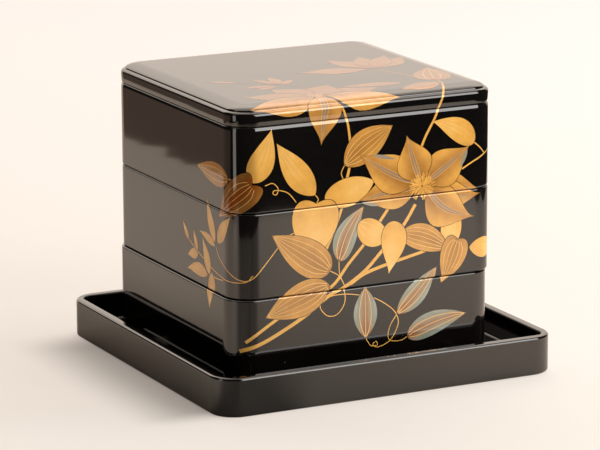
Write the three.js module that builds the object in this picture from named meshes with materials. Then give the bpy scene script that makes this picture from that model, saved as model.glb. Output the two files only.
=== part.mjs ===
// Square lacquered stacking food box: three alike tiers and a lid, standing in a low square tray.
// Millimetres, +Z up, origin on the table under the middle of the tray.
import * as THREE from "three";

// Plan of the tiers and the lid, which share one outline
const boxSide = 199.4;
const boxCorner = 18;
const boxWall = 6.5;

// One tier: its walls run from the seat up to the rim, and its bottom board stands out below the seat
const tierHeight = 58.7;
const tierBoard = 7.1;
const tierFootDrop = 4.1;
const tierFootRound = 0.8;
const tierSeatRound = 1.4;
const tierRimRound = 1.0;
const tierMouthRound = 1.6;
const tierFloorFillet = 3;
const tierNames = ["bottom_tier", "middle_tier", "top_tier"];

// Lid: a skirt flush with the tiers that draws in a little below, a rounded edge with a hair's ledge,
// and a flat top that rolls down to the ledge
const lidHeight = 13.45;
const lidBoard = 6.5;
const lidSeatRound = 0.9;
const lidTuckIn = 0.35;
const lidEdgeRound = 2.7;
const lidLedge = 0.2;
const lidRollWidth = 11.5;
const lidRollDrop = 3.7;
const lidRibWidth = 4;
const lidRibDrop = 3.5;
const lidRibRound = 1;
const lidRecessFillet = 2;

// Tray: a flat board with an upright rim all round
const traySide = 257.5;
const trayCorner = 18;
const trayInnerCorner = 7;
const trayHeight = 27.2;
const trayWall = 6.7;
const trayBoard = 7.6;
const trayBaseRound = 2.2;
const trayRimRound = 2;
const trayMouthRound = 1.6;
const trayFloorFillet = 1.5;

// Fits: the gap between pieces that rest on each other, and the play of a foot or rib in the mouth below it
const restGap = 0.3;
const mouthPlay = 2;

// Where the box was set down in the tray, and how far the bottom tier has slipped under the others
const boxPlace = new THREE.Vector2(-4, -0.4);
const bottomTierSlip = -1.4;

// Fineness of the curves
const cornerSteps = 7;
const roundSteps = 3;
const skirtSteps = 3;
const rollSteps = 6;

const lacquer = new THREE.Color(0.012, 0.011, 0.01);

// Outline of a square with rounded corners, as points in order round it
function squareOutline(side, corner, height) {
  const reach = side / 2 - corner;
  const points = [];
  for (let quarter = 0; quarter < 4; quarter += 1) {
    const start = (quarter * Math.PI) / 2;
    const centre = new THREE.Vector2(reach, reach).rotateAround(new THREE.Vector2(), start);
    for (let step = 0; step <= cornerSteps; step += 1) {
      const angle = start + (step * Math.PI) / 2 / cornerSteps;
      points.push(
        new THREE.Vector3(
          centre.x + corner * Math.cos(angle),
          centre.y + corner * Math.sin(angle),
          height,
        ),
      );
    }
  }
  return points;
}

// Closed solid of a profile carried round a square, as a lathe carries one round an axis.
// Each profile point is how far in from the outer face it lies, its height and its corner's radius.
function squareLathe(side, profile) {
  const rings = profile.map(({ inset, height, corner }) =>
    squareOutline(side - 2 * inset, corner, height),
  );
  const around = rings[0].length;
  const last = rings.length - 1;
  const positions = rings.flat().flatMap((point) => point.toArray());
  const faces = [];
  for (let ring = 0; ring < last; ring += 1) {
    for (let i = 0; i < around; i += 1) {
      const next = (i + 1) % around;
      const low = ring * around;
      const high = low + around;
      faces.push(low + i, low + next, high + next);
      faces.push(low + i, high + next, high + i);
    }
  }
  for (const [ring, turned] of [[0, true], [last, false]]) {
    const outline = rings[ring].map((point) => new THREE.Vector2(point.x, point.y));
    for (const [a, b, c] of THREE.ShapeUtils.triangulateShape(outline, [])) {
      const start = ring * around;
      faces.push(start + a, start + (turned ? c : b), start + (turned ? b : c));
    }
  }
  const geometry = new THREE.BufferGeometry();
  geometry.setAttribute("position", new THREE.Float32BufferAttribute(positions, 3));
  geometry.setIndex(faces);
  geometry.computeVertexNormals();
  return geometry;
}

// Points of a quarter round about a centre, from one angle to another in quarter turns.
// Angle 0 points out of the wall, 1 up, 2 into the box and 3 down.
function quarterRound(inset, height, radius, from, to, steps = roundSteps) {
  const points = [];
  for (let step = 0; step <= steps; step += 1) {
    const angle = ((from + ((to - from) * step) / steps) * Math.PI) / 2;
    points.push({
      inset: inset - radius * Math.cos(angle),
      height: height + radius * Math.sin(angle),
    });
  }
  return points;
}

// Corners that stay concentric: each radius shrinks as the profile goes in
function withCorners(points, cornerAtFace) {
  return points.map((point) => ({ ...point, corner: cornerAtFace - point.inset }));
}

function tierGeometry() {
  const footInset = boxWall + mouthPlay;
  const floor = tierBoard - tierFootDrop;
  return squareLathe(
    boxSide,
    withCorners(
      [
        ...quarterRound(footInset + tierFootRound, tierFootRound - tierFootDrop, tierFootRound, 3, 4),
        { inset: footInset, height: 0 },
        ...quarterRound(tierSeatRound, tierSeatRound, tierSeatRound, 3, 4),
        ...quarterRound(tierRimRound, tierHeight - tierRimRound, tierRimRound, 0, 1),
        ...quarterRound(boxWall - tierMouthRound, tierHeight - tierMouthRound, tierMouthRound, 1, 2),
        ...quarterRound(boxWall + tierFloorFillet, floor + tierFloorFillet, tierFloorFillet, 0, -1),
      ],
      boxCorner,
    ),
  );
}

function lidGeometry() {
  const ribInset = boxWall + mouthPlay;
  const recessInset = ribInset + lidRibWidth;
  const ledgeHeight = lidHeight - lidRollDrop;
  const skirtTop = ledgeHeight - lidEdgeRound;
  const ceiling = lidHeight - lidBoard;
  // The skirt's face leans in by the square of the way down it
  const skirt = [];
  for (let step = 0; step < skirtSteps; step += 1) {
    const down = 1 - step / skirtSteps;
    skirt.push({
      inset: lidTuckIn * down ** 2,
      height: skirtTop - (skirtTop - lidSeatRound) * down,
    });
  }
  // The roll is a quarter of an ellipse, upright at the ledge and level at the flat top
  const roll = [];
  for (let step = 0; step <= rollSteps; step += 1) {
    const angle = ((step / rollSteps) * Math.PI) / 2;
    roll.push({
      inset: lidEdgeRound + lidLedge + lidRollWidth * (1 - Math.cos(angle)),
      height: ledgeHeight + lidRollDrop * Math.sin(angle),
    });
  }
  const points = [
    ...quarterRound(recessInset + lidRecessFillet, ceiling - lidRecessFillet, lidRecessFillet, 1, 0),
    ...quarterRound(recessInset - lidRibRound, lidRibRound - lidRibDrop, lidRibRound, -2, -1),
    ...quarterRound(ribInset + lidRibRound, lidRibRound - lidRibDrop, lidRibRound, 3, 4),
    { inset: ribInset, height: 0 },
    ...quarterRound(lidTuckIn + lidSeatRound, lidSeatRound, lidSeatRound, 3, 4).slice(0, -1),
    ...skirt,
    ...quarterRound(lidEdgeRound, skirtTop, lidEdgeRound, 0, 1),
    ...roll,
  ];
  const tightest = 1;
  return squareLathe(
    boxSide,
    points.map((point) => ({
      ...point,
      corner: Math.max(boxCorner - point.inset, tightest),
    })),
  );
}

function trayGeometry() {
  const outer = [
    ...quarterRound(trayBaseRound, trayBaseRound, trayBaseRound, 3, 4),
    ...quarterRound(trayRimRound, trayHeight - trayRimRound, trayRimRound, 0, 1),
  ];
  const inner = [
    ...quarterRound(trayWall - trayMouthRound, trayHeight - trayMouthRound, trayMouthRound, 1, 2),
    ...quarterRound(trayWall + trayFloorFillet, trayBoard + trayFloorFillet, trayFloorFillet, 0, -1),
  ];
  return squareLathe(traySide, [
    ...withCorners(outer, trayCorner),
    ...withCorners(inner, trayInnerCorner + trayWall),
  ]);
}

function lacquered(geometry, name) {
  const finish = new THREE.MeshStandardMaterial({ color: lacquer, roughness: 0.08, metalness: 0 });
  const mesh = new THREE.Mesh(geometry, finish);
  mesh.name = name;
  return mesh;
}

const foodBox = new THREE.Group();

foodBox.add(lacquered(trayGeometry(), "tray"));

// The stack rests on the tray's floor by the bottom tier's foot, and each tier carries the next on its rim
const stack = new THREE.Group();
const seatStep = tierHeight + restGap;
stack.position.set(boxPlace.x, boxPlace.y, trayBoard + restGap + tierFootDrop);
tierNames.forEach((name, level) => {
  const tier = lacquered(tierGeometry(), name);
  tier.position.set(level === 0 ? bottomTierSlip : 0, 0, level * seatStep);
  stack.add(tier);
});

const lid = lacquered(lidGeometry(), "lid");
lid.position.z = tierNames.length * seatStep;
stack.add(lid);

foodBox.add(stack);

export default foodBox;
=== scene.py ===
# Square stacking food box in its tray, in black lacquer painted with gold and silver powder.
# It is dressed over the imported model. Sizes are in millimetres here, as on a maker's drawing,
# and become metres where a mesh is made. Places in the finishes are in metres.
import math
import random
from collections import namedtuple

import bpy
from mathutils import Matrix, Vector
from mathutils.geometry import delaunay_2d_cdt


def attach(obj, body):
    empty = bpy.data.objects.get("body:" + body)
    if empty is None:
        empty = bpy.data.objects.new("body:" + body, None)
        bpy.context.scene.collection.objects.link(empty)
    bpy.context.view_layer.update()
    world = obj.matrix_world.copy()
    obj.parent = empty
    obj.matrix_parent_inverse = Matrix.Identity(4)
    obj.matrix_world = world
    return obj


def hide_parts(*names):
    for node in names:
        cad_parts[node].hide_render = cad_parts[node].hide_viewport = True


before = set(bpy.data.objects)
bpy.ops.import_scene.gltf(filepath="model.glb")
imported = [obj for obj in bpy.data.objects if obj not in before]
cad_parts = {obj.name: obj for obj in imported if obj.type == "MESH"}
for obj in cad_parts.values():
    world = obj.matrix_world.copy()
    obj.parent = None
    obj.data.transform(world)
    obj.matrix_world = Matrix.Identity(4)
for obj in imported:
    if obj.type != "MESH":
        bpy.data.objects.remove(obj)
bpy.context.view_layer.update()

MM = 0.001
QUARTER = math.pi / 2

# The tiers, which are alike
BOX_SIDE = 199.4
BOX_CORNER = 18
BOX_WALL = 6.5
TIERS = ("bottom_tier", "middle_tier", "top_tier")
TIER_HEIGHT = 58.7
TIER_FLOOR = 3.0
FOOT_DROP = 4.1
FOOT_ROUND = 0.8
SEAT_ROUND = 1.4
RIM_ROUND = 1.0
MOUTH_ROUND = 1.6
FLOOR_FILLET = 3

# The narrow bevel under the top tier's rim
BEVEL_HEIGHT = 1.4
BEVEL_INSET = 0.35

# The lid
LID_HEIGHT = 13.45
LID_BOARD = 6.5
LID_SEAT_ROUND = 0.9
LID_TUCK_IN = 0.35
LID_EDGE_ROUND = 2.7
LID_LEDGE = 0.12
LID_ROLL_WIDTH = 11.5
LID_ROLL_DROP = 3.7
LID_RIB_WIDTH = 4
LID_RIB_DROP = 3.5
LID_RIB_ROUND = 1
LID_RECESS_FILLET = 2
LID_EDGE_START = LID_HEIGHT - LID_ROLL_DROP - LID_EDGE_ROUND

# The tray
TRAY_SIDE = 257.5
TRAY_CORNER = 18
TRAY_INNER_CORNER = 7
TRAY_HEIGHT = 27.2
TRAY_WALL = 6.7
TRAY_BOARD = 7.6
TRAY_BASE_ROUND = 2.2
TRAY_RIM_ROUND = 2
TRAY_MOUTH_ROUND = 1.6
TRAY_FILLET = 1.5

# How the pieces stand: the play of a foot or rib in the mouth below it, the step from a tier's seat
# to the next, the bottom tier's seat, and how far that tier has slipped under the others
MOUTH_PLAY = 2
SEAT_STEP = 59.0
STACK_PLACE = Vector((-4, -0.4, 12.0))
BOTTOM_SLIP = -1.4

# Fineness of the curves
CORNER_STEPS = 24
ROUND_STEPS = 8
ROLL_STEPS = 20
SKIRT_STEPS = 6
TIGHTEST_CORNER = 1


def linked(name, data):
    """An object of the scene with this data."""
    made = bpy.data.objects.new(name, data)
    bpy.context.scene.collection.objects.link(made)
    return made


# Lacquered pieces: a section carried round a square
# Each row of a section is how far in from the outer face it lies, its height, how far it faces out
# and up, and the radius of its corner. A section is a list of strokes, each smooth in itself.

Row = namedtuple("Row", "inset height out up corner")


def quarter_round(inset, height, radius, start, end, corner=BOX_CORNER):
    """A quarter round about a centre: 0 points out of the wall, 1 up, 2 into the box, 3 down."""
    turn = 1 if end > start else -1
    rows = []
    for step in range(ROUND_STEPS + 1):
        angle = (start + (end - start) * step / ROUND_STEPS) * QUARTER
        out, up = math.cos(angle), math.sin(angle)
        at = inset - radius * out
        tightened = max(corner - at, TIGHTEST_CORNER)
        rows.append(Row(at, height + radius * up, turn * out, turn * up, tightened))
    return rows


def tier_section(name):
    """A tier's foot, its side, its seat, its rim, its mouth and its inside."""
    foot = BOX_WALL + MOUTH_PLAY
    rim_height = TIER_HEIGHT - RIM_ROUND
    rim = quarter_round(RIM_ROUND, rim_height, RIM_ROUND, 0, 1)
    if name == TIERS[-1]:
        lean = Vector((BEVEL_HEIGHT, BEVEL_INSET)).normalized()
        start = math.atan2(lean.y, lean.x) / QUARTER
        rim = [
            Row(0, rim_height - BEVEL_HEIGHT, lean.x, lean.y, BOX_CORNER),
            *quarter_round(RIM_ROUND + BEVEL_INSET, rim_height, RIM_ROUND, start, 1),
        ]
    return [
        quarter_round(foot + FOOT_ROUND, FOOT_ROUND - FOOT_DROP, FOOT_ROUND, 3, 4),
        [Row(foot, 0, 1, 0, BOX_CORNER - foot)],
        quarter_round(SEAT_ROUND, SEAT_ROUND, SEAT_ROUND, 3, 4),
        rim,
        quarter_round(BOX_WALL - MOUTH_ROUND, TIER_HEIGHT - MOUTH_ROUND, MOUTH_ROUND, 1, 2),
        quarter_round(BOX_WALL + FLOOR_FILLET, TIER_FLOOR + FLOOR_FILLET, FLOOR_FILLET, 0, -1),
    ]


def lid_outside():
    """The lid's seat, its skirt that leans in on the way down, its edge and its roll up to the top."""
    ledge = LID_HEIGHT - LID_ROLL_DROP
    span = LID_EDGE_START - LID_SEAT_ROUND
    skirt = []
    for step in range(SKIRT_STEPS):
        down = 1 - step / SKIRT_STEPS
        inset = LID_TUCK_IN * down**2
        way = Vector((span, -2 * LID_TUCK_IN * down)).normalized()
        skirt.append(Row(inset, LID_EDGE_START - span * down, way.x, way.y, BOX_CORNER - inset))
    roll = []
    for step in range(ROLL_STEPS + 1):
        angle = step / ROLL_STEPS * QUARTER
        level, rise = math.cos(angle), math.sin(angle)
        inset = LID_EDGE_ROUND + LID_LEDGE + LID_ROLL_WIDTH * (1 - level)
        way = Vector((LID_ROLL_DROP * level, LID_ROLL_WIDTH * rise)).normalized()
        corner = max(BOX_CORNER - inset, TIGHTEST_CORNER)
        roll.append(Row(inset, ledge + LID_ROLL_DROP * rise, way.x, way.y, corner))
    seat = quarter_round(LID_TUCK_IN + LID_SEAT_ROUND, LID_SEAT_ROUND, LID_SEAT_ROUND, 3, 4)
    edge = quarter_round(LID_EDGE_ROUND, LID_EDGE_START, LID_EDGE_ROUND, 0, 1)
    return [seat[:-1] + skirt + edge, roll]


def lid_section():
    """The lid's recess, its rib and its outside."""
    rib = BOX_WALL + MOUTH_PLAY
    rib_end = LID_RIB_ROUND - LID_RIB_DROP
    recess = rib + LID_RIB_WIDTH
    fillet = LID_RECESS_FILLET
    return [
        quarter_round(recess + fillet, LID_HEIGHT - LID_BOARD - fillet, fillet, 1, 0),
        quarter_round(recess - LID_RIB_ROUND, rib_end, LID_RIB_ROUND, -2, -1),
        quarter_round(rib + LID_RIB_ROUND, rib_end, LID_RIB_ROUND, 3, 4),
        [Row(rib, 0, 1, 0, BOX_CORNER - rib)],
        *lid_outside(),
    ]


def tray_section():
    """The tray's outside, its rim and its inside, whose corner is tighter."""
    rim, mouth = TRAY_RIM_ROUND, TRAY_MOUTH_ROUND
    base, fillet = TRAY_BASE_ROUND, TRAY_FILLET
    inner = TRAY_INNER_CORNER + TRAY_WALL
    return [
        quarter_round(base, base, base, 3, 4, TRAY_CORNER),
        quarter_round(rim, TRAY_HEIGHT - rim, rim, 0, 1, TRAY_CORNER),
        quarter_round(TRAY_WALL - mouth, TRAY_HEIGHT - mouth, mouth, 1, 2, inner),
        quarter_round(TRAY_WALL + fillet, TRAY_BOARD + fillet, fillet, 0, -1, inner),
    ]


def outline(side, row):
    """Points and outward ways round a square with rounded corners, at one row of a section."""
    reach = side / 2 - row.inset - row.corner
    points, ways = [], []
    for quarter in range(4):
        turn = Matrix.Rotation(quarter * QUARTER, 3, "Z")
        centre = turn @ Vector((reach, reach, row.height))
        for step in range(CORNER_STEPS + 1):
            angle = step / CORNER_STEPS * QUARTER
            way = turn @ Vector((math.cos(angle), math.sin(angle), 0))
            ways.append(way)
            points.append(centre + way * row.corner)
    return points, ways


def lathed(name, side, strokes, place):
    """A closed mesh of a section carried round a square, faced exactly as its curves are."""
    rows = [row for stroke in strokes for row in stroke]
    stroke_of = [index for index, stroke in enumerate(strokes) for _ in stroke]
    rings = [outline(side, row) for row in rows]
    ways = rings[0][1]
    around = len(ways)
    vertices = [(point + place) * MM for points, _ in rings for point in points]
    faces, normals = [], []
    for ring in range(len(rows) - 1):
        low, high = rows[ring], rows[ring + 1]
        if stroke_of[ring] == stroke_of[ring + 1]:
            facing = (low.out, low.up), (high.out, high.up)
        else:
            flat = Vector((high.height - low.height, high.inset - low.inset)).normalized()
            facing = tuple(flat), tuple(flat)
        for i in range(around):
            after = (i + 1) % around
            start, top = ring * around, (ring + 1) * around
            faces.append((start + i, start + after, top + after, top + i))
            for level, index in ((0, i), (0, after), (1, after), (1, i)):
                out, up = facing[level]
                normals.append((ways[index].x * out, ways[index].y * out, up))
    last = (len(rows) - 1) * around
    faces.append(tuple(range(around - 1, -1, -1)))
    faces.append(tuple(range(last, last + around)))
    normals += [(0, 0, -1)] * around + [(0, 0, 1)] * around
    return linked(name, smooth_mesh(name, vertices, faces, normals))


def smooth_mesh(name, vertices, faces, normals):
    """A mesh with a facing of its own at each corner of its faces."""
    mesh = bpy.data.meshes.new(name)
    mesh.from_pydata(vertices, [], faces)
    mesh.polygons.foreach_set("use_smooth", [True] * len(mesh.polygons))
    mesh.normals_split_custom_set(normals)
    return mesh


# Finishes

# Sockets that are known by their place: the object's own coordinates, the place on a surface in
# metres, the number from a vector sum, and a colour mix's share, first, second and result
OBJECT_PLACE = 3
SURFACE_PLACE = 0
VECTOR_NUMBER = 1
MIX_SHARE, MIX_FIRST, MIX_SECOND, MIX_COLOUR = 0, 6, 7, 2
BLACK = (0, 0, 0)

# Black lacquer: its two blacks, the dust on it, and the swell that the polishing left, in metres
LACQUER_BLACKS = (0.0026, 0.0023, 0.0021), (0.0044, 0.0034, 0.0028)
LACQUER_IOR = 1.8
LACQUER_ROUGHNESS = 0.045
RUBBED_ROUGHNESS = 0.012
DUST_ROUGHNESS = 0.4
DUST_COLOUR = (0.5, 0.48, 0.45)
DUST_SHARE = 0.5
DUST_SIZE = (0.018, 0.05)
SWELL_HEIGHT = 0.000022
RUBBING_HEIGHT = 0.0000012

# Metal powder: how far its tone swings in clouds and from grain to grain, and the grain's height
CLOUD_SWING = 0.22
GRAIN_SWING = 0.16
GRAIN_HEIGHT = 0.00002
GRAIN_STRENGTH = 0.5
POWDER_EDGE_TINT = (0.6, 0.42, 0.2, 1)
COAT_ROUGHNESS = 0.04

# Colours of the powder from its darkest tone to its brightest
GOLD_STOPS = [
    (0.0, (0.035, 0.010, 0.003)),
    (0.15, (0.300, 0.062, 0.004)),
    (0.3, (0.280, 0.110, 0.018)),
    (0.6, (0.620, 0.300, 0.068)),
    (0.85, (0.930, 0.500, 0.105)),
    (1.0, (1.0, 0.620, 0.200)),
]
SILVER_STOPS = [
    (0.0, (0.150, 0.050, 0.020)),
    (0.3, (0.360, 0.170, 0.080)),
    (0.6, (0.400, 0.315, 0.210)),
    (0.85, (0.300, 0.325, 0.265)),
    (1.0, (0.400, 0.430, 0.360)),
]


class Flow:
    """A value on its way through a finish's nodes; sums written on it add their nodes."""

    def __init__(self, tree, socket=None):
        self.tree = tree
        self.socket = socket

    def node(self, kind, settings=None, inputs=None, output=0):
        made = self.tree.nodes.new(kind)
        for name, value in (settings or {}).items():
            if name == "stops":
                self.set_stops(made.color_ramp, value)
            else:
                setattr(made, name, value)
        for name, value in (inputs or {}).items():
            if isinstance(value, Flow):
                self.tree.links.new(value.socket, made.inputs[name])
            else:
                made.inputs[name].default_value = value
        return Flow(self.tree, made.outputs[output] if made.outputs else None)

    @staticmethod
    def set_stops(ramp, stops):
        while len(ramp.elements) < len(stops):
            ramp.elements.new(1)
        for element, (place, colour) in zip(ramp.elements, stops):
            element.position = place
            element.color = (*colour, 1)

    def math(self, operation, *values):
        return self.node("ShaderNodeMath", {"operation": operation}, dict(enumerate(values)))

    def __add__(self, other):
        return self.math("ADD", self, other)

    def __sub__(self, other):
        return self.math("SUBTRACT", self, other)

    def __rsub__(self, other):
        return self.math("SUBTRACT", other, self)

    def __mul__(self, other):
        return self.math("MULTIPLY", self, other)

    def __abs__(self):
        return self.math("ABSOLUTE", self)

    __radd__ = __add__
    __rmul__ = __mul__

    def between(self, low, high):
        """0 at low, 1 at high, and smooth between."""
        settings = {"interpolation_type": "SMOOTHSTEP"}
        inputs = {"Value": self, "From Min": low, "From Max": high}
        return self.node("ShaderNodeMapRange", settings, inputs)

    def patch(self, start, full, fading, end):
        """1 from full to fading, 0 before start and after end, and smooth between."""
        return self.between(start, full) * (1 - self.between(fading, end))

    def vector(self, operation, *values, output=0):
        """A vector sum on this vector."""
        inputs = dict(enumerate((self, *values)))
        return self.node("ShaderNodeVectorMath", {"operation": operation}, inputs, output)

    def parts(self):
        """The three numbers of this vector."""
        split = self.node("ShaderNodeSeparateXYZ", inputs={"Vector": self})
        return [Flow(self.tree, part) for part in split.socket.node.outputs]


def rgba(colour):
    return colour if isinstance(colour, Flow) else (*colour, 1)


def dimmed(colour, share):
    return tuple(part * share for part in colour)


def blended(share, first, second):
    """The colour that goes from first to second as share goes from 0 to 1."""
    inputs = {MIX_SHARE: share, MIX_FIRST: rgba(first), MIX_SECOND: rgba(second)}
    return share.node("ShaderNodeMix", {"data_type": "RGBA"}, inputs, MIX_COLOUR)


def new_finish(name):
    material = bpy.data.materials.new(name)
    material.use_nodes = True
    material.node_tree.nodes.clear()
    return material, Flow(material.node_tree)


def finished(flow, values):
    """Close a finish with its surface, which takes these values."""
    surface = flow.node("ShaderNodeBsdfPrincipled", inputs=values)
    flow.node("ShaderNodeOutputMaterial", inputs={"Surface": surface})


def noise(flow, scale, detail):
    here = flow.node("ShaderNodeTexCoord", output=OBJECT_PLACE)
    inputs = {"Vector": here, "Scale": scale, "Detail": detail}
    return flow.node("ShaderNodeTexNoise", inputs=inputs)


def bumped(flow, height, strength):
    """The facing of a surface with this height in metres."""
    inputs = {"Height": height, "Distance": 1.0, "Strength": strength}
    return flow.node("ShaderNodeBump", inputs=inputs)


def black_lacquer():
    """Deep black lacquer polished by hand: the faint swell of the rubbing, and a few specks of dust."""
    material, flow = new_finish("black_lacquer")
    swell = noise(flow, scale=26, detail=1.0)
    rubbing = noise(flow, scale=140, detail=2.0)
    here = flow.node("ShaderNodeTexCoord", output=OBJECT_PLACE)
    cells = flow.node("ShaderNodeTexVoronoi", inputs={"Vector": here, "Scale": 170.0})
    dusty = noise(flow, scale=31, detail=0.0).between(0.56, 0.62)
    dust = (1 - cells.between(*DUST_SIZE)) * dusty
    brown = noise(flow, scale=9, detail=1.0).between(0.35, 0.65)
    black = blended(brown, *LACQUER_BLACKS)
    finished(flow, {
        "Base Color": blended(dust * DUST_SHARE, black, DUST_COLOUR),
        "Roughness": LACQUER_ROUGHNESS + dust * DUST_ROUGHNESS + rubbing * RUBBED_ROUGHNESS,
        "IOR": LACQUER_IOR,
        "Normal": bumped(flow, swell * SWELL_HEIGHT + rubbing * RUBBING_HEIGHT, 1.0),
    })
    return material


def leaf_place(flow):
    """The way along a leaf from its base to its tip, and the way out from its bent middle line."""
    place = flow.node("ShaderNodeAttribute", {"attribute_name": "leaf_place"}, output=1)
    along, side, bend = place.parts()
    return along, abs(side - bend * along * (1 - along) * 4)


def powdered(name, stops, metallic, roughness):
    """Metal powder sown in wet lacquer, thinner where it is darker, under a clear polished coat."""
    material, flow = new_finish(name)
    along, out = leaf_place(flow)
    tones = flow.node("ShaderNodeAttribute", {"attribute_name": "leaf_tones"}, output=1)
    middle, edge, base = tones.parts()
    across = out.between(0.0, 0.85)
    low = (1 - along).between(0.35, 1.0)
    cloud = noise(flow, scale=140, detail=3.0) - 0.5
    grain = noise(flow, scale=2400, detail=1.0) - 0.5
    tone = middle + (edge - middle) * across - base * low
    tone = tone + cloud * CLOUD_SWING + grain * GRAIN_SWING
    finished(flow, {
        "Base Color": flow.node("ShaderNodeValToRGB", {"stops": stops}, {"Fac": tone}),
        "Metallic": metallic,
        "Roughness": roughness,
        "Specular IOR Level": 0.0,
        "Specular Tint": POWDER_EDGE_TINT,
        "Coat Weight": 1.0,
        "Coat IOR": LACQUER_IOR,
        "Coat Roughness": COAT_ROUGHNESS,
        "Normal": bumped(flow, grain * GRAIN_HEIGHT, GRAIN_STRENGTH),
    })
    return material


# Painting: drawn flat on the unrolled faces, then laid on the lacquer
# Across, 0 is the middle of the front face, and the drawing goes on round both front corners.
# Up, 0 is the foot of the bottom tier's face, and the drawing goes on over the lid's edge onto its
# top. What is drawn later lies over what was drawn before it, and a paint of None is bare lacquer.

Paint = namedtuple("Paint", "metal tones frame")
LeafFrame = namedtuple("LeafFrame", "base axis half bend")
drawing = []

# Fineness of a leaf and of a vein, and where along a leaf its veins run
LEAF_STEPS = 22
VEIN_STEPS = 8
VEIN_START = 0.03
VEIN_LENGTH = 0.93

# Where along the way from the heart to the tip a petal starts, and its bar starts and ends
PETAL_START = 0.06
BAR_START = 0.12
BAR_END = 0.93
BAR_BEND = 0.96

# A stamen: its width at both ends, its darkest tone and how much brighter it may be, and as shares
# of the burst's size or of its own reach, where it starts, where it turns and how far
STAMEN_WIDTHS = (0.35, 0.6)
STAMEN_TONE = 0.62
STAMEN_TONE_SPAN = 0.3
STAMEN_START = 0.08
STAMEN_ELBOW = 0.6
STAMEN_TURN = 0.18
SHORTEST_STAMEN = 0.5
HEART_REACH = 0.35

# Tones of plain brush lines, and the width of a fine one
STEM_TONE = 0.82
TENDRIL_TONE = 0.86
FINE = 0.62

# Each look of a leaf or a petal: its metal; its tone along the middle, its tone at the edge and how
# much darker its base is; its veins, as shares of the way out; the width and the tone of a vein;
# and the gap of bare lacquer round it
Look = namedtuple("Look", "metal tones veins vein_width vein_tone gap",
                  defaults=((-0.5, 0, 0.5), 0.6, 1.0, 0.4))
LOOKS = {
    "bright": Look("gold", (0.93, 0.86, 0.14), (-0.42, 0, 0.42), vein_tone=0.78),
    "pale": Look("gold", (0.96, 0.90, 0.16), ()),
    "amber": Look("gold", (0.18, 0.34, 0.0), (-0.62, -0.3, 0, 0.3, 0.62), vein_width=0.4),
    "dusk": Look("gold", (0.48, 0.60, 0.05)),
    "shaded": Look("gold", (0.36, 0.48, 0.0), ()),
    "veined": Look("gold", (0.50, 0.66, 0.06), (-0.64, -0.33, 0, 0.33, 0.64), vein_width=0.45),
    "petal": Look("gold", (0.56, 0.80, 0.20), ()),
    "lip": Look("gold", (0.50, 0.64, 0.05), ()),
    # The rim look's brighter tones are a painted highlight, where the lid's edge mirrors the light
    "rim": Look("gold", (0.59, 0.71, 0.08), ()),
    # Low tones for the lid: painted shade, for the lid's top that takes less light
    "faint": Look("gold", (0.42, 0.48, 0.04), ()),
    "silver": Look("silver", (0.40, 0.98, 0.20)),
    "bar": Look("silver", (0.42, 0.52, 0.0), (-1, 0, 1), vein_width=0.4, vein_tone=0.78, gap=0),
    "turned": Look("silver", (0.62, 0.80, 0.0), (), gap=0),
}

# Stems and tendrils: points, width at the start and width at the end
STEMS = [
    ([(-95, 24), (-78, 29), (-59, 37.5), (-44, 45.5), (-30, 55), (-18, 60.5), (-2.7, 70), (11, 83),
      (26, 97.5), (36, 112)], 2.6, 2.4),
    ([(-91, 30), (-80, 37), (-66, 45), (-48, 54), (-28, 62), (-15, 76.5), (-2.5, 89.5), (11, 106),
      (20, 118)], 2.2, 2.2),
    ([(-14, 62), (-2.7, 68), (14, 72.5), (31, 76), (47, 79.5), (62, 84)], 2.4, 2.0),
    ([(-35, 78), (-32, 88), (-25, 103), (-20, 116)], 2.2, 1.8),
    ([(-17, 133), (-14, 145), (-13.7, 157), (-14.8, 168), (-17, 178), (-21, 187), (-25, 194)],
     2.0, 1.4),
    ([(36, 140), (43, 157), (51, 171), (58, 187), (63, 198), (67, 210), (63, 227), (56, 247),
      (48, 268)], 1.9, 0.9),
]
TENDRILS = [
    ([(72, 133), (82, 138), (92, 142), (101, 144), (112, 142), (124, 146)], 1.1, 0.7),
    ([(81, 151), (86, 147), (91, 142)], 0.9, 0.7),
    ([(-104, 141), (-98.5, 140.6), (-93, 138)], 0.9, 0.9),
    ([(-77.6, 136.7), (-72, 137.8), (-68, 134), (-69, 130), (-71.5, 130.4), (-71, 132.6),
      (-66, 132.2), (-60, 129.6), (-54.5, 123)], FINE, FINE),
    ([(-40.4, 126.6), (-38, 123.6), (-39.7, 120)], FINE, FINE),
    ([(-18.2, 144.6), (-20.6, 139.6), (-19, 135)], FINE, FINE),
    ([(-29.3, 72.9), (-22, 68), (-17.2, 58), (-17, 49), (-22.6, 42), (-30.2, 42), (-35.5, 49),
      (-30, 54.5), (-18, 55.5), (-5.8, 53.5), (6.5, 49.7), (17.3, 42.8), (22.6, 37), (24.3, 30),
      (20.4, 21.5), (15.5, 17.3), (8.1, 15.2), (4.8, 17.6), (7.3, 19.4), (8.0, 16.6), (3, 17),
      (-0.7, 22.5)], FINE, FINE),
    ([(-22.5, 79), (-22.2, 70.6), (-20.5, 66)], FINE, FINE),
    ([(23.2, 36.7), (18, 29), (16.4, 22), (19, 18.4), (26.7, 17.8), (31.3, 19.9)], FINE, FINE),
    ([(-122.6, 90.9), (-118, 85), (-106.4, 78.2), (-96.3, 72.8), (-88, 73.2), (-79.6, 80.8),
      (-67.6, 94), (-61.5, 100), (-55, 102.5)], 0.7, FINE),
    ([(-165.9, 87.2), (-151.5, 81.9), (-140.3, 78), (-127.7, 74.4), (-112, 71.6), (-99, 70.8),
      (-91, 71.8), (-86.8, 76)], 0.7, FINE),
    ([(-131, 70), (-123, 69.2), (-112, 70)], 0.9, 0.7),
]

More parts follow.
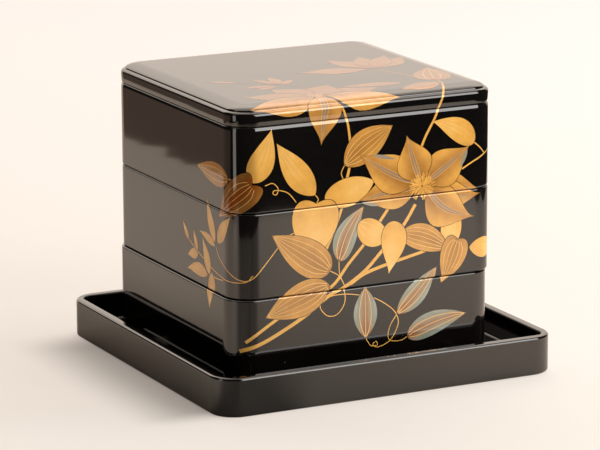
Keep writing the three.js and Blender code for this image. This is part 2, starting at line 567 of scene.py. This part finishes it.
# Leaves of the sprig round the left corner: base, tip, width, bend
LEFT_SPRIG = [
    ((-124.4, 94), (-136.7, 121.8), 9, 0.5),
    ((-119.6, 94.5), (-102.4, 115.2), 10.5, 0.5),
    ((-124.2, 91.2), (-148.5, 96.9), 6, -1.0),
    ((-133, 69.6), (-144.1, 93.2), 9.5, -0.5),
    ((-136.5, 68.6), (-169.1, 66.4), 9.5, -2.0),
    ((-129.4, 71.5), (-130.9, 46.6), 11, 0.0),
    ((-151.5, 79.8), (-167.8, 76.2), 7.5, -0.6),
    ((-165.9, 87.2), (-175.3, 98.6), 4.5, 0.3),
    ((-152.1, 82.4), (-158.2, 95.8), 5, 0.2),
]

# Leaves round the right corner: base, tip, width, look
RIGHT_SPRIG = [
    ((124, 146), (154, 162), 16, "veined"),
    ((112, 142), (132, 122), 15, "bright"),
    ((101, 144), (112, 168), 14, "amber"),
]

# The bud and the sprig on the lid's top: tip and width of a petal; base, tip and width of a leaf
BUD_HEART = (49, 270)
BUD_PETALS = [((-8, 281), 20), ((32, 317), 17), ((60, 318), 18), ((89, 303), 20), ((80, 314), 16)]
LID_STEM = [(-16, 222), (-22.5, 230), (-29, 243.5), (-35, 250.7), (-48.5, 257.9), (-62, 273.2)]
LID_STEM_TONE = 0.5
LID_SPRIG = [
    ((-33.8, 251), (-30.2, 277), 8),
    ((-33, 249), (-19.7, 263), 6.5),
    ((-36.8, 253), (-44.5, 275), 6),
    ((-40.7, 249), (-63.3, 249), 6.5),
    ((-40, 246), (-57.8, 239), 6),
    ((-59, 270), (-75, 281), 6),
]

# The flower over the lid's edge: tip, width, bend and look of each plain petal
LID_FLOWER_HEART = (-29.7, 203)
LID_FLOWER_PETALS = [
    # The low-toned petals on the lid paint shade onto its top
    ((23, 210), 26, 1.0, "faint"),
    ((-6.4, 235), 27, 0.0, "faint"),
    ((-50, 239), 27, 0.0, "faint"),
    ((-80, 222), 26, 2.0, "faint"),
    ((-89, 190), 25, 3.0, "lip"),
    # This petal's brighter look is a painted highlight along the lid's edge
    ((28, 188), 25, -3.0, "rim"),
]
LID_FLOWER_LAST_TIP = (-35.8, 159.7)

# The flower on the front face: tip, width and bend of each petal
FLOWER_HEART = (41.1, 124.2)
FLOWER_PETALS = [
    ((86, 117.5), 19, 2.0),
    ((87.5, 115), 22, -4.5),
    ((82.3, 98.8), 29, -5.5),
    ((-8.5, 119), 25, -1.0),
    ((78.5, 149.3), 27, -0.5),
    ((-7.8, 151.6), 27, 2.0),
    ((29.1, 161), 27, 0.6),
]

# Where a petal's edge is turned over and shows its silver back: start, end, width
TURNED_EDGES = [
    ((3, 149.6), (21, 145), 2.6),
    ((76.2, 146.5), (70.6, 134), 3),
    ((-5, 117.6), (9, 113.8), 2.4),
]


def spline(points, steps):
    """A smooth line through points."""
    points = [Vector(point) for point in points]
    ends = [2 * points[0] - points[1], *points, 2 * points[-1] - points[-2]]
    line = []
    for a, b, c, d in zip(ends, ends[1:], ends[2:], ends[3:]):
        for step in range(steps):
            t = step / steps
            line.append(0.5 * (2 * b + (c - a) * t + (2 * a - 5 * b + 4 * c - d) * t**2
                               + (3 * b - a - 3 * c + d) * t**3))
    return [*line, points[-1]]


def leaf_frame(base, tip, width, bend):
    return LeafFrame(Vector(base), Vector(tip) - Vector(base), width / 2, bend)


def in_leaf(frame_of, point):
    """Where a point lies in a leaf: along it, out to the side and the leaf's bend in half widths."""
    base, axis, half, bend = frame_of
    way = point - base
    length = axis.length
    side = (axis.x * way.y - axis.y * way.x) / length
    return way.dot(axis) / length**2, side / half, bend / half


def swelling(belly, point):
    """How far a leaf's side stands out at each share of its length: 1 at its belly, 0 at its ends."""
    rise = point * belly / (1 - belly)
    peak = belly**rise * (1 - belly) ** point
    return lambda along: along**rise * (1 - along) ** point / peak


def leaf_outline(frame_of, belly, point, heart, grow=0.0):
    """Both sides of a leaf: widest at belly, drawn out at its tip, and lobed at its base by heart."""
    base, axis, half, bend = frame_of
    way = axis.normalized()
    length = axis.length + 2 * grow
    start = base - way * grow
    side = Vector((-axis.y, axis.x)).normalized()
    swell = swelling(belly, point)
    sides = ([], [])
    for step in range(LEAF_STEPS + 1):
        along = (1 - math.cos(step / LEAF_STEPS * math.pi)) / 2
        out = swell(along)
        middle = bend * 4 * along * (1 - along)
        back = heart * half * out * (1 - along) ** 3
        for sign, line in zip((1, -1), sides):
            line.append(start + way * (along * length - back)
                        + side * (middle + sign * out * (half + grow)))
    return sides[1] + sides[0][-2:0:-1]


def brushed(points, start_width, end_width, tone, steps=7):
    """A gold brush line that tapers from one width to another."""
    line = spline(points, steps)
    left, right = [], []
    for index, point in enumerate(line):
        way = line[min(index + 1, len(line) - 1)] - line[max(index - 1, 0)]
        side = Vector((-way.y, way.x)).normalized()
        half = (start_width + (end_width - start_width) * index / (len(line) - 1)) / 2
        left.append(point + side * half)
        right.append(point - side * half)
    # The end is moved a hair, so that a line that closes on itself has a length
    frame_of = leaf_frame(line[0], line[-1] + Vector((0.01, 0)), 1, 0)
    shapes = [[right[i], right[i + 1], left[i + 1], left[i]] for i in range(len(line) - 1)]
    drawing.append((Paint("gold", (tone, tone, 0.0), frame_of), shapes))


def leaf(base, tip, width, look, bend=0.0, heart=0.0, belly=0.38, point=1.05, veins=None):
    """A leaf with a thin gap of bare lacquer round it, and its veins in fine lines."""
    look = LOOKS[look]
    frame_of = leaf_frame(base, tip, width, bend)
    if look.gap:
        drawing.append((None, [leaf_outline(frame_of, belly, point, heart, grow=look.gap)]))
    paint = Paint(look.metal, look.tones, frame_of)
    drawing.append((paint, [leaf_outline(frame_of, belly, point, heart)]))
    start, axis, half, _ = frame_of
    side = Vector((-axis.y, axis.x)).normalized()
    swell = swelling(belly, point)
    for share in look.veins if veins is None else veins:
        line = []
        for step in range(VEIN_STEPS + 1):
            along = VEIN_START + VEIN_LENGTH * step / VEIN_STEPS
            out = bend * 4 * along * (1 - along) + share * swell(along) * half
            line.append(start + axis * along + side * out)
        brushed(line, look.vein_width, look.vein_width / 2, look.vein_tone, steps=3)


def petal(heart, tip, width, bend=0.0, look="petal", belly=0.40, point=1.85, bar=0.15):
    """A petal from the heart of its flower, with a mauve bar down its middle if bar has a width."""
    heart, tip = Vector(heart), Vector(tip)
    leaf(heart.lerp(tip, PETAL_START), tip, width, look, bend=bend, belly=belly, point=point)
    if bar:
        start, end = heart.lerp(tip, BAR_START), heart.lerp(tip, BAR_END)
        leaf(start, end, width * bar, "bar", bend=bend * BAR_BEND, belly=0.3, point=0.9)


def stamens(heart, size, count, seed):
    """A burst of stamens at a flower's heart."""
    heart = Vector(heart)
    small = Vector((size * HEART_REACH, 0))
    leaf(heart - small, heart + small, size * 2 * HEART_REACH, "shaded", belly=0.5, point=0.5)
    dice = random.Random(seed)
    for index in range(count):
        angle = 2 * math.pi * (index + dice.random()) / count
        reach = size * (SHORTEST_STAMEN + (1 - SHORTEST_STAMEN) * dice.random())
        way = Vector((math.cos(angle), math.sin(angle)))
        turn = Vector((-way.y, way.x)) * size * STAMEN_TURN * (dice.random() - 0.5)
        tone = STAMEN_TONE + STAMEN_TONE_SPAN * dice.random()
        start = heart + way * size * STAMEN_START
        elbow = heart + way * reach * STAMEN_ELBOW + turn
        brushed([start, elbow, heart + way * reach], *STAMEN_WIDTHS, tone, steps=2)


def draw_stems():
    for points, start_width, end_width in STEMS:
        brushed(points, start_width, end_width, STEM_TONE)
    for points, start_width, end_width in TENDRILS:
        brushed(points, start_width, end_width, TENDRIL_TONE)


def draw_leaves():
    leaf((-86.7, 139.5), (-72.5, 174.9), 18.5, "bright", -1.6, heart=0.1, belly=0.35, point=1.3)
    leaf((-40.4, 126.6), (-68.8, 164.6), 18.5, "bright", 1.2, heart=0.05, belly=0.40, point=1.2)
    leaf((-18.2, 144.6), (18.4, 168.5), 22, "veined", 1.6, heart=0.15, belly=0.44)
    leaf((81.4, 150.8), (48.6, 168.3), 16.5, "bright", -3.2, heart=0.3, belly=0.36, point=1.3)
    leaf((-104.4, 140.8), (-151.4, 142.2), 16, "dusk", belly=0.34)
    leaf((-86.9, 138), (-117.4, 113), 23, "amber", heart=0.95, belly=0.3)
    leaf((-32.9, 123.1), (4.2, 131.6), 20, "pale", -1.2, heart=0.3, belly=0.46, point=0.85)
    leaf((-39.4, 120.4), (-42.4, 80), 35, "pale", heart=0.62, belly=0.32, point=1.25)
    leaf((-29.3, 72.9), (-72.7, 102.2), 24.5, "veined", heart=0.15, belly=0.36)
    leaf((-22.5, 79), (-3.4, 115.1), 17, "silver", 3.2, belly=0.36)
    leaf((65, 105), (62.5, 78), 16, "pale", belly=0.45, point=0.6, veins=(-0.4, 0, 0.4))
    leaf((-7.5, 103.5), (13, 89.5), 18.5, "pale", -0.8, belly=0.5, point=0.55, veins=(-0.5, 0, 0.5))
    leaf((60.8, 79), (25, 93), 18.5, "veined", -2.0, belly=0.55, point=0.6)
    leaf((19.5, 102), (15.4, 65.3), 19.5, "pale", 1.5, heart=0.25, belly=0.34, point=1.45)
    leaf((69, 84), (57.4, 54.6), 20.5, "veined", 0.6, heart=0.6, belly=0.32, point=1.1)
    leaf((78.3, 77.3), (108, 74), 14.5, "bright", belly=0.42)
    leaf((-29.7, 62.9), (-76.6, 45.9), 24, "veined", heart=0.1, belly=0.4)
    leaf((-0.7, 22.5), (-1.2, 58.7), 18, "silver", belly=0.48)
    leaf((23.2, 36.7), (52.7, 66.6), 15.5, "silver", -1.7, belly=0.44)
    leaf((31.3, 19.9), (77.5, 31), 17, "silver", 2.4, belly=0.36)


def draw_side_sprigs():
    for base, tip, width, bend in LEFT_SPRIG:
        leaf(base, tip, width, "bright", bend, heart=0.1, point=1.4, veins=())
    for base, tip, width, look in RIGHT_SPRIG:
        leaf(base, tip, width, look, bend=1.0, heart=0.2)


def draw_lid_top():
    # The lid's top takes the low-toned look, painted shade for the light that falls less on it
    for tip, width in BUD_PETALS:
        petal(BUD_HEART, tip, width, look="faint", belly=0.45, bar=0)
    brushed(LID_STEM, 1.2, 0.6, LID_STEM_TONE)
    for base, tip, width in LID_SPRIG:
        leaf(base, tip, width, "faint", belly=0.42)
    leaf((41.3, 217), (-2.9, 222), 12, "faint", bend=-1.2)
    leaf((64.1, 208.2), (31, 197.5), 17, "faint", bend=1.0, veins=(0,))
    leaf((67, 217), (83, 257), 26, "faint", heart=0.5, belly=0.34, veins=(-0.45, 0, 0.45))


def draw_flowers():
    for tip, width, bend, look in LID_FLOWER_PETALS:
        petal(LID_FLOWER_HEART, tip, width, bend, look, bar=0)
    petal(LID_FLOWER_HEART, LID_FLOWER_LAST_TIP, 25, look="lip", bar=0.2)
    stamens(LID_FLOWER_HEART, size=8, count=40, seed=3)
    for tip, width, bend in FLOWER_PETALS:
        petal(FLOWER_HEART, tip, width, bend)
    for start, end, width in TURNED_EDGES:
        leaf(start, end, width, "turned", belly=0.45)
    stamens(FLOWER_HEART, size=10.5, count=130, seed=7)


# Laying the drawing on the pieces

Face = namedtuple("Face", "name place rows")
Column = namedtuple("Column", "across centre way")

# How far the paint stands off the lacquer under it
PAINT_LIFT = 0.04

# How far across the lid's top the drawing can go, the finest step that the cutting keeps apart,
# and the play in telling whether two heights are the same
LID_TOP_REACH = BOX_SIDE - 20
CUT_STEP = 1e-5
SAME_HEIGHT = 1e-9

# Up the drawing, where painted shade starts to darken the powder towards the lid's top, over how far,
# and how much
TOP_SHADE_FROM = 189
TOP_SHADE_OVER = 12
TOP_SHADE_BY = 0.32


def corner_columns(start, centre, first, second):
    """The columns round one corner, where the way out turns from first to second."""
    arc = BOX_CORNER * QUARTER
    columns = []
    for step in range(CORNER_STEPS + 1):
        angle = step / CORNER_STEPS * QUARTER
        way = first * math.cos(angle) + second * math.sin(angle)
        columns.append(Column(start + arc * step / CORNER_STEPS, centre, way))
    return columns


def face_columns():
    """Where the unrolled drawing turns: across, the centre it is carried round, and the way out."""
    reach = BOX_SIDE / 2 - BOX_CORNER
    arc = BOX_CORNER * QUARTER
    far = reach + arc + 2 * reach
    left, front, right = Vector((-1, 0, 0)), Vector((0, -1, 0)), Vector((1, 0, 0))
    return [
        Column(-far, Vector((-reach, reach, 0)), left),
        *corner_columns(-reach - arc, Vector((-reach, -reach, 0)), left, front),
        *corner_columns(reach, Vector((reach, -reach, 0)), front, right),
        Column(far, Vector((reach, reach, 0)), right),
    ]


def painted_faces():
    """The outside of each tier and of the lid, as rows of (up the drawing, row of the section)."""
    faces = []
    for level, name in enumerate(TIERS):
        start = level * SEAT_STEP
        _, _, seat, rim, _, _ = tier_section(name)
        # The added row keeps the face flat as far as a bevel that leans
        rows = [*seat[1:], Row(0, rim[0].height, 1, 0, BOX_CORNER), *rim[:-1]]
        faces.append(Face(name, tier_place(level), [(start + row.height, row) for row in rows]))
    start = len(TIERS) * SEAT_STEP
    skirt, roll = lid_outside()
    top = Row(LID_TOP_REACH, LID_HEIGHT, 0, 1, TIGHTEST_CORNER)
    rows, up, before = [], start, None
    for row in [*skirt[1:], *roll, top]:
        if before is None or row.height <= LID_EDGE_START + SAME_HEIGHT:
            up = start + row.height
        else:
            up += math.hypot(row.inset - before.inset, row.height - before.height)
        rows.append((up, row))
        before = row
    faces.append(Face("lid", lid_place(), rows))
    return faces


def laid(face, columns, across, up, span, column):
    """The point and the facing of the lacquer under one point of the drawing."""
    (low_up, low), (high_up, high) = face.rows[span], face.rows[span + 1]
    t = (up - low_up) / (high_up - low_up)
    first, second = columns[column], columns[column + 1]
    s = (across - first.across) / (second.across - first.across)
    points = []
    for row in (low, high):
        ends = [end.centre + end.way * (BOX_CORNER - row.inset) for end in (first, second)]
        points.append(ends[0].lerp(ends[1], s) + Vector((0, 0, row.height)))
    way = first.way.lerp(second.way, s).normalized()
    out, rise = low.out + (high.out - low.out) * t, low.up + (high.up - low.up) * t
    facing = (way * out + Vector((0, 0, rise))).normalized()
    return face.place + points[0].lerp(points[1], t) + facing * PAINT_LIFT, facing


def span_of(values, value):
    for index in range(len(values) - 1):
        if values[index] <= value <= values[index + 1]:
            return index
    return None


def cut_drawing(columns, faces):
    """Cut the whole drawing into triangles, none of them across a row or a column of the faces.

    Gives the points, and for each painted triangle its corners and its topmost paint."""
    vertices, edges, shapes, owners = [], [], [], []
    for order, (_, outlines) in enumerate(drawing):
        for shape in outlines:
            shapes.append(list(range(len(vertices), len(vertices) + len(shape))))
            vertices += shape
            owners.append(order)
    left = min(vertex.x for vertex in vertices) - 1
    right = max(vertex.x for vertex in vertices) + 1
    top = max(vertex.y for vertex in vertices) + 1
    lid_start = faces[-1].rows[0][0]
    ruled = [((left, up), (right, up)) for face in faces for up, _ in face.rows if up < top]
    ruled += [((at, 0), (at, lid_start)) for at, _, _ in columns if left < at < right]
    for ends in ruled:
        edges.append((len(vertices), len(vertices) + 1))
        vertices += [Vector(end) for end in ends]
    cut, _, triangles, _, _, sources = delaunay_2d_cdt(vertices, edges, shapes, 1, CUT_STEP, True)
    painted = []
    for corners, source in zip(triangles, sources):
        paint = drawing[max(owners[index] for index in source)][0] if source else None
        if paint:
            painted.append((corners, paint))
    return cut, painted


def lay_painting():
    """Share out the painted triangles to their faces and metals, and lay each share as one piece."""
    columns, faces = face_columns(), painted_faces()
    cut, painted = cut_drawing(columns, faces)
    steps = [column.across for column in columns]
    pieces = {}
    for corners, paint in painted:
        middle = sum((cut[index] for index in corners), Vector((0, 0))) / len(corners)
        for face in faces:
            span = span_of([up for up, _ in face.rows], middle.y)
            if span is None:
                continue
            # The drawing goes straight on over the lid's flat top, as on the front face
            on_top = face.name == "lid" and span == len(face.rows) - 2
            column = CORNER_STEPS + 1 if on_top else span_of(steps, middle.x)
            parts = pieces.setdefault((face.name, paint.metal), [])
            parts.append((face, corners, span, column, paint))
    for (name, metal), parts in pieces.items():
        make_painting(f"{name}_{metal}_painting", metal, parts, cut, columns)


def top_shade_share(up):
    """The share of its tone that the powder keeps on its way up onto the lid's flat top, where painted
    shade darkens it.
    """
    return 1 - TOP_SHADE_BY * min(max((up - TOP_SHADE_FROM) / TOP_SHADE_OVER, 0), 1)


def make_painting(name, metal, parts, cut, columns):
    vertices, faces, normals, places, tones, known = [], [], [], [], [], {}
    for face, corners, span, column, paint in parts:
        ring = []
        for index in corners:
            point, facing = laid(face, columns, cut[index].x, cut[index].y, span, column)
            if index not in known:
                known[index] = len(vertices)
                vertices.append(point * MM)
            ring.append(known[index])
            normals.append(facing)
            places.append(in_leaf(paint.frame, cut[index]))
            # Painted shade darkens the powder up onto the lid's flat top
            tones.append(Vector(paint.tones) * top_shade_share(cut[index].y))
        faces.append(ring)
    mesh = smooth_mesh(name, vertices, faces, normals)
    for title, values in (("leaf_place", places), ("leaf_tones", tones)):
        layer = mesh.attributes.new(title, "FLOAT_VECTOR", "CORNER")
        layer.data.foreach_set("vector", [number for value in values for number in value])
    mesh.materials.append(FINISHES[metal])
    piece = linked(name, mesh)
    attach(piece, "root")


# Making the box

FINISHES = {
    "lacquer": black_lacquer(),
    "gold": powdered("gold_powder", GOLD_STOPS, metallic=0.35, roughness=0.42),
    "silver": powdered("silver_powder", SILVER_STOPS, metallic=0.3, roughness=0.45),
}


def tier_place(level):
    slip = BOTTOM_SLIP if level == 0 else 0
    return STACK_PLACE + Vector((slip, 0, level * SEAT_STEP))


def lid_place():
    return STACK_PLACE + Vector((0, 0, len(TIERS) * SEAT_STEP))


def make_lacquerware():
    made = [("tray", TRAY_SIDE, tray_section(), Vector())]
    for level, name in enumerate(TIERS):
        made.append((name, BOX_SIDE, tier_section(name), tier_place(level)))
    made.append(("lid", BOX_SIDE, lid_section(), lid_place()))
    for name, side, strokes, place in made:
        piece = lathed(f"{name}_lacquered", side, strokes, place)
        piece.data.materials.append(FINISHES["lacquer"])
        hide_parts(name)
        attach(piece, "root")


make_lacquerware()
draw_stems()
draw_leaves()
draw_side_sprigs()
draw_lid_top()
draw_flowers()
lay_painting()


# Studio

# The camera: its turn, dip and roll in degrees, its place in metres and its lens
CAMERA_TURN, CAMERA_DIP, CAMERA_ROLL = -26.54, -13.30, -0.28
CAMERA_PLACE = Vector((-1.0895, -2.1698, 0.6661))
CAMERA_LENS = 213
CAMERA_SENSOR = 36
CAMERA_REACH = 50

# The studio's own back and right, which are the camera's
BACK = Vector((0.447, 0.894, 0))
RIGHT = Vector((0.894, -0.447, 0))

# The floor: how far it goes, its paper, its glow of painted light, brighter from the front left to the
# back right, and where a painted shadow darkens it next to the tray's left, across and along
FLOOR_REACH = 9000
FLOOR_TONE = (0.33, 0.35, 0.32)
FLOOR_GLOW = (0.58, 0.50, 0.455), (0.67, 0.515, 0.512)
FLOOR_GLOW_WAY = BACK + RIGHT * 0.45
FLOOR_GLOW_SPAN = (-0.25, 1.6)
FLOOR_SHADOW_ACROSS = (-0.19, -0.135, -0.12, 0.12)
FLOOR_SHADOW_ALONG = (-0.128, -0.1, 0.08, 0.13)
FLOOR_SHADOW_DEPTH = 0.56

# The table cloth: its tone, the wedge before the box's near corner where painted shade darkens it,
# how deep that painted shade is near the corner and farther off, a painted shadow next to the tray,
# painted shade far to the right, and a glow of painted light on the far left
TABLE_TONE = (0.88, 0.77, 0.66)
WEDGE_START = (-0.086, -0.082, 0)
WEDGE_WAY = (-0.407, -0.914, 0)
WEDGE_FACING = (0.58, 0.86)
WEDGE_REACH = (0.1, 0.5)
WEDGE_SHADE, WEDGE_FAR_SHADE = 0.64, 0.12
TABLE_SHADOW_ACROSS, TABLE_SHADOW_DEPTH = (-0.22, -0.14, -0.13, -0.11), 0.28
TABLE_SHADE_SPAN, TABLE_SHADE_DEPTH = (0.2, 0.6), 0.45
TABLE_PAINTED_LIGHT, TABLE_PAINTED_LIGHT_SPAN = (0.125, 0.11, 0.095), (-0.2, -0.14)
CLOTH_ROUGHNESS = 0.9
WEAVE_DEPTH = 0.985

# The table's edge, with a torn stretch between two plain ones
TABLE_LEVEL = -0.5
TABLE_EDGE = [(-309, -530), (-86, -590), (100, -600), (330, -600), (590, -330), (625, 0),
              (640, 1600), (-400, 1600)]
TORN_STEPS, TORN_STEP, TORN_DEPTH, TORN_START = 20, 18, 18, (-400, 790)
TABLE_EDGE_LEFT = [(-400, 420), (-620, 250), (-660, -340), (-535, -301), (-428, -440)]

# The room: its brown floor on the left, and the lit backdrop and ceiling
ROOM_BROWN = (0.21, 0.14, 0.10)
ROOM_FLOOR = [(-2500, 100, -3), (-380, 100, -3), (-380, 2500, -3), (-2500, 2500, -3)]
WARM_WHITE = (0.92, 0.80, 0.69)
BACKDROP_GLOW = (1.5, 3.2)
BACKDROP_SPAN = (0.5, 1.6)
CEILING_GLOW = 1.9
ROOM_LEFT, ROOM_RIGHT = -1900, 1600
ROOM_BACK, ROOM_TOP_BACK, ROOM_FRONT = 1650, 1350, -700
ROOM_HEIGHT = 2500
DARK = (0.03, 0.026, 0.024, 1)


def in_studio(right, back, height):
    """A point by the studio's own right and back, from the tray's middle."""
    return RIGHT * right + BACK * back + Vector((0, 0, height))


def aimed(place, right, up, back):
    """The matrix of something at a place that looks along minus back."""
    turned = Matrix((right, up, back)).transposed().to_4x4()
    return Matrix.Translation(place) @ turned


def set_camera():
    turn, dip, roll = (math.radians(a) for a in (CAMERA_TURN, CAMERA_DIP, CAMERA_ROLL))
    level = math.cos(dip)
    forward = Vector((-math.sin(turn) * level, math.cos(turn) * level, math.sin(dip)))
    right = forward.cross(Vector((0, 0, 1))).normalized()
    up = right.cross(forward)
    rolled_right = right * math.cos(roll) + up * math.sin(roll)
    rolled_up = up * math.cos(roll) - right * math.sin(roll)
    data = bpy.data.cameras.new("camera")
    data.sensor_width = CAMERA_SENSOR
    data.lens = CAMERA_LENS
    data.clip_end = CAMERA_REACH
    camera = linked("camera", data)
    camera.matrix_world = aimed(CAMERA_PLACE, rolled_right, rolled_up, -forward)
    bpy.context.scene.camera = camera


def here_on(flow):
    """The place on a surface, in metres."""
    return flow.node("ShaderNodeNewGeometry", output=SURFACE_PLACE)


def woven(flow, colour):
    cloth = noise(flow, scale=60, detail=2.0).between(0.2, 0.8)
    return blended(cloth, dimmed(colour, WEAVE_DEPTH), colour)


def glowing(flow, colour, glow, roughness):
    """Close a finish that glows."""
    finished(flow, {
        "Base Color": rgba(colour),
        "Roughness": roughness,
        "Emission Color": glow,
        "Emission Strength": 1.0,
    })


def floor_finish():
    """Pale paper whose glow is painted light, brighter to the back and right of the studio."""
    material, flow = new_finish("pale_floor")
    here = here_on(flow)
    far = here.vector("DOT_PRODUCT", tuple(FLOOR_GLOW_WAY), output=VECTOR_NUMBER)
    across, along, _ = here.parts()
    # A painted shadow next to the tray's left
    shadow_beside = across.patch(*FLOOR_SHADOW_ACROSS) * along.patch(*FLOOR_SHADOW_ALONG)
    glow = blended(far.between(*FLOOR_GLOW_SPAN), *FLOOR_GLOW)
    lit = blended(shadow_beside * FLOOR_SHADOW_DEPTH, glow, BLACK)
    glowing(flow, woven(flow, FLOOR_TONE), lit, CLOTH_ROUGHNESS)
    return material


def table_finish():
    """The cloth seen in the lacquer: painted shade before the box and far right, a painted shadow left
    of the tray, painted light farther left.
    """
    material, flow = new_finish("table_cloth")
    here = here_on(flow)
    # Painted shade in a wedge before the box's near corner, deeper farther off
    way = here.vector("SUBTRACT", WEDGE_START)
    faced = way.vector("NORMALIZE").vector("DOT_PRODUCT", WEDGE_WAY, output=VECTOR_NUMBER)
    reach = way.vector("LENGTH", output=VECTOR_NUMBER)
    strength = WEDGE_SHADE + reach.between(*WEDGE_REACH) * WEDGE_FAR_SHADE
    wedge_shade = faced.between(*WEDGE_FACING) * strength
    across, _, _ = here.parts()
    # A painted shadow left of the tray, and painted shade far to the right
    shadow_beside = across.patch(*TABLE_SHADOW_ACROSS) * TABLE_SHADOW_DEPTH
    far_shade = across.between(*TABLE_SHADE_SPAN) * TABLE_SHADE_DEPTH
    painted_shade = 1 - (1 - wedge_shade) * (1 - shadow_beside) * (1 - far_shade)
    shade = blended(painted_shade, woven(flow, TABLE_TONE), BLACK)
    # Painted light: a glow on the far left, where no painted shade lies
    painted_light = (1 - across.between(*TABLE_PAINTED_LIGHT_SPAN)) * (1 - painted_shade)
    glowing(flow, shade, blended(painted_light, BLACK, TABLE_PAINTED_LIGHT), CLOTH_ROUGHNESS)
    return material


def glow_finish(name, colour, low, high, low_height=0, high_height=1):
    """A lit cloth that brightens with height, in metres."""
    material, flow = new_finish(name)
    share = here_on(flow).parts()[2].between(low_height, high_height)
    glowing(flow, BLACK, blended(share, dimmed(colour, low), dimmed(colour, high)), 1.0)
    return material


def sheet_of(name, points, finish, seen_by_camera=False, lights_box=True):
    """A flat stage piece; one that the camera doesn't see shows in the lacquer, and lights the box."""
    mesh = bpy.data.meshes.new(name)
    mesh.from_pydata([Vector(point) * MM for point in points], [], [tuple(range(len(points)))])
    mesh.materials.append(finish)
    piece = linked(name, mesh)
    piece.visible_camera = seen_by_camera
    piece.visible_glossy = not seen_by_camera
    piece.visible_diffuse = lights_box and not seen_by_camera
    piece.visible_shadow = False


def soft_light(name, place, target, width, height, radiance, colour=(1, 1, 1), mirrored=True):
    data = bpy.data.lights.new(name, "AREA")
    data.shape = "RECTANGLE"
    data.size, data.size_y = width * MM, height * MM
    data.energy = radiance * math.pi * data.size * data.size_y
    data.color = colour
    back = (place - target).normalized()
    side = Vector((0, 0, 1)).cross(back).normalized()
    light = linked(name, data)
    light.visible_glossy = mirrored
    light.matrix_world = aimed(place * MM, side, back.cross(side), back)


def table_edge():
    edge = list(TABLE_EDGE)
    dice = random.Random(5)
    across, along = TORN_START
    for step in range(TORN_STEPS):
        edge.append((across + TORN_DEPTH * (dice.random() - 0.5), along - TORN_STEP * step))
    return [(x, y, TABLE_LEVEL) for x, y in edge + TABLE_EDGE_LEFT]


def build_room():
    far = FLOOR_REACH
    floor = [(-far, -far, 0), (far, -far, 0), (far, far, 0), (-far, far, 0)]
    sheet_of("floor", floor, floor_finish(), seen_by_camera=True)
    sheet_of("table", table_edge(), table_finish())
    sheet_of("room_floor", ROOM_FLOOR, glow_finish("room_brown", ROOM_BROWN, 1, 1))
    foot = [in_studio(ROOM_LEFT, ROOM_BACK, 0), in_studio(ROOM_RIGHT, ROOM_BACK, 0)]
    top = [in_studio(side, ROOM_TOP_BACK, ROOM_HEIGHT) for side in (ROOM_RIGHT, ROOM_LEFT)]
    front = [in_studio(side, ROOM_FRONT, ROOM_HEIGHT) for side in (ROOM_RIGHT, ROOM_LEFT)]
    backdrop = glow_finish("backdrop", WARM_WHITE, *BACKDROP_GLOW, *BACKDROP_SPAN)
    sheet_of("backdrop", foot + top, backdrop)
    ceiling = glow_finish("ceiling", WARM_WHITE, CEILING_GLOW, CEILING_GLOW)
    sheet_of("ceiling", top[::-1] + front, ceiling, lights_box=False)


def light_room():
    soft_light("front_softbox", in_studio(1200, -900, 750), Vector((0, 0, 130)),
               width=1200, height=1300, radiance=4.6, colour=(1.0, 0.97, 0.93))
    soft_light("right_softbox", in_studio(2200, 800, 1000), Vector((0, 0, 60)),
               width=1500, height=1200, radiance=9.8, mirrored=False)
    soft_light("left_panel", Vector((-620, -158, 175)), Vector((-100, -158, 135)),
               width=135, height=300, radiance=1.5, colour=(1.0, 0.93, 0.87))
    world = bpy.data.worlds.new("dark_room")
    world.use_nodes = True
    world.node_tree.nodes["Background"].inputs["Color"].default_value = DARK
    bpy.context.scene.world = world
    bpy.context.scene.view_settings.view_transform = "Standard"


build_room()
light_room()
set_camera()
